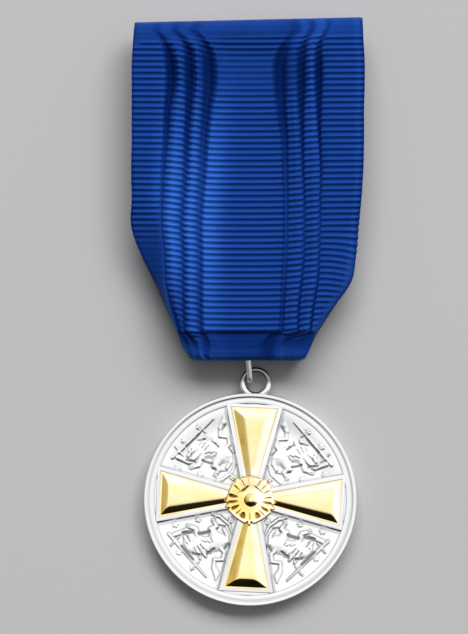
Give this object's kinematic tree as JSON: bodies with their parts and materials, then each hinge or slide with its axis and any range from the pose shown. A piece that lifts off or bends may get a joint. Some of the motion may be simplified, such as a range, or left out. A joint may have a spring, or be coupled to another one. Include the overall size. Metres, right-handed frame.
{
  "type": "honour badge",
  "caption": "Round silver medal with a gilt cross and rose, linked by an eyelet to a pleated blue ribbon with a pin brooch, lying on its back.",
  "frame": {"origin": "on the surface that the badge lies on, under the middle of the whole badge", "axes": "+X across the ribbon, +Y from the medal up the ribbon, +Z out of the badge's face"},
  "size_m": [0.0348, 0.0884, 0.0062],
  "materials": {
    "ribbon_cloth": "ribbed grosgrain with a soft sheen",
    "silver": "polished silver, finely frosted in the fields",
    "gilt": "polished gilding",
    "wire_silver": "polished silver wire",
    "brooch_steel": "plain satin steel"
  },
  "bodies": {
    "root": {"ribbon": "ribbon_cloth", "brooch": "brooch_steel", "hanger_bar": "wire_silver", "suspension_link": "wire_silver", "medal": "silver", "gilt_cross": "gilt", "rose": "gilt"}
  },
  "joints": []
}
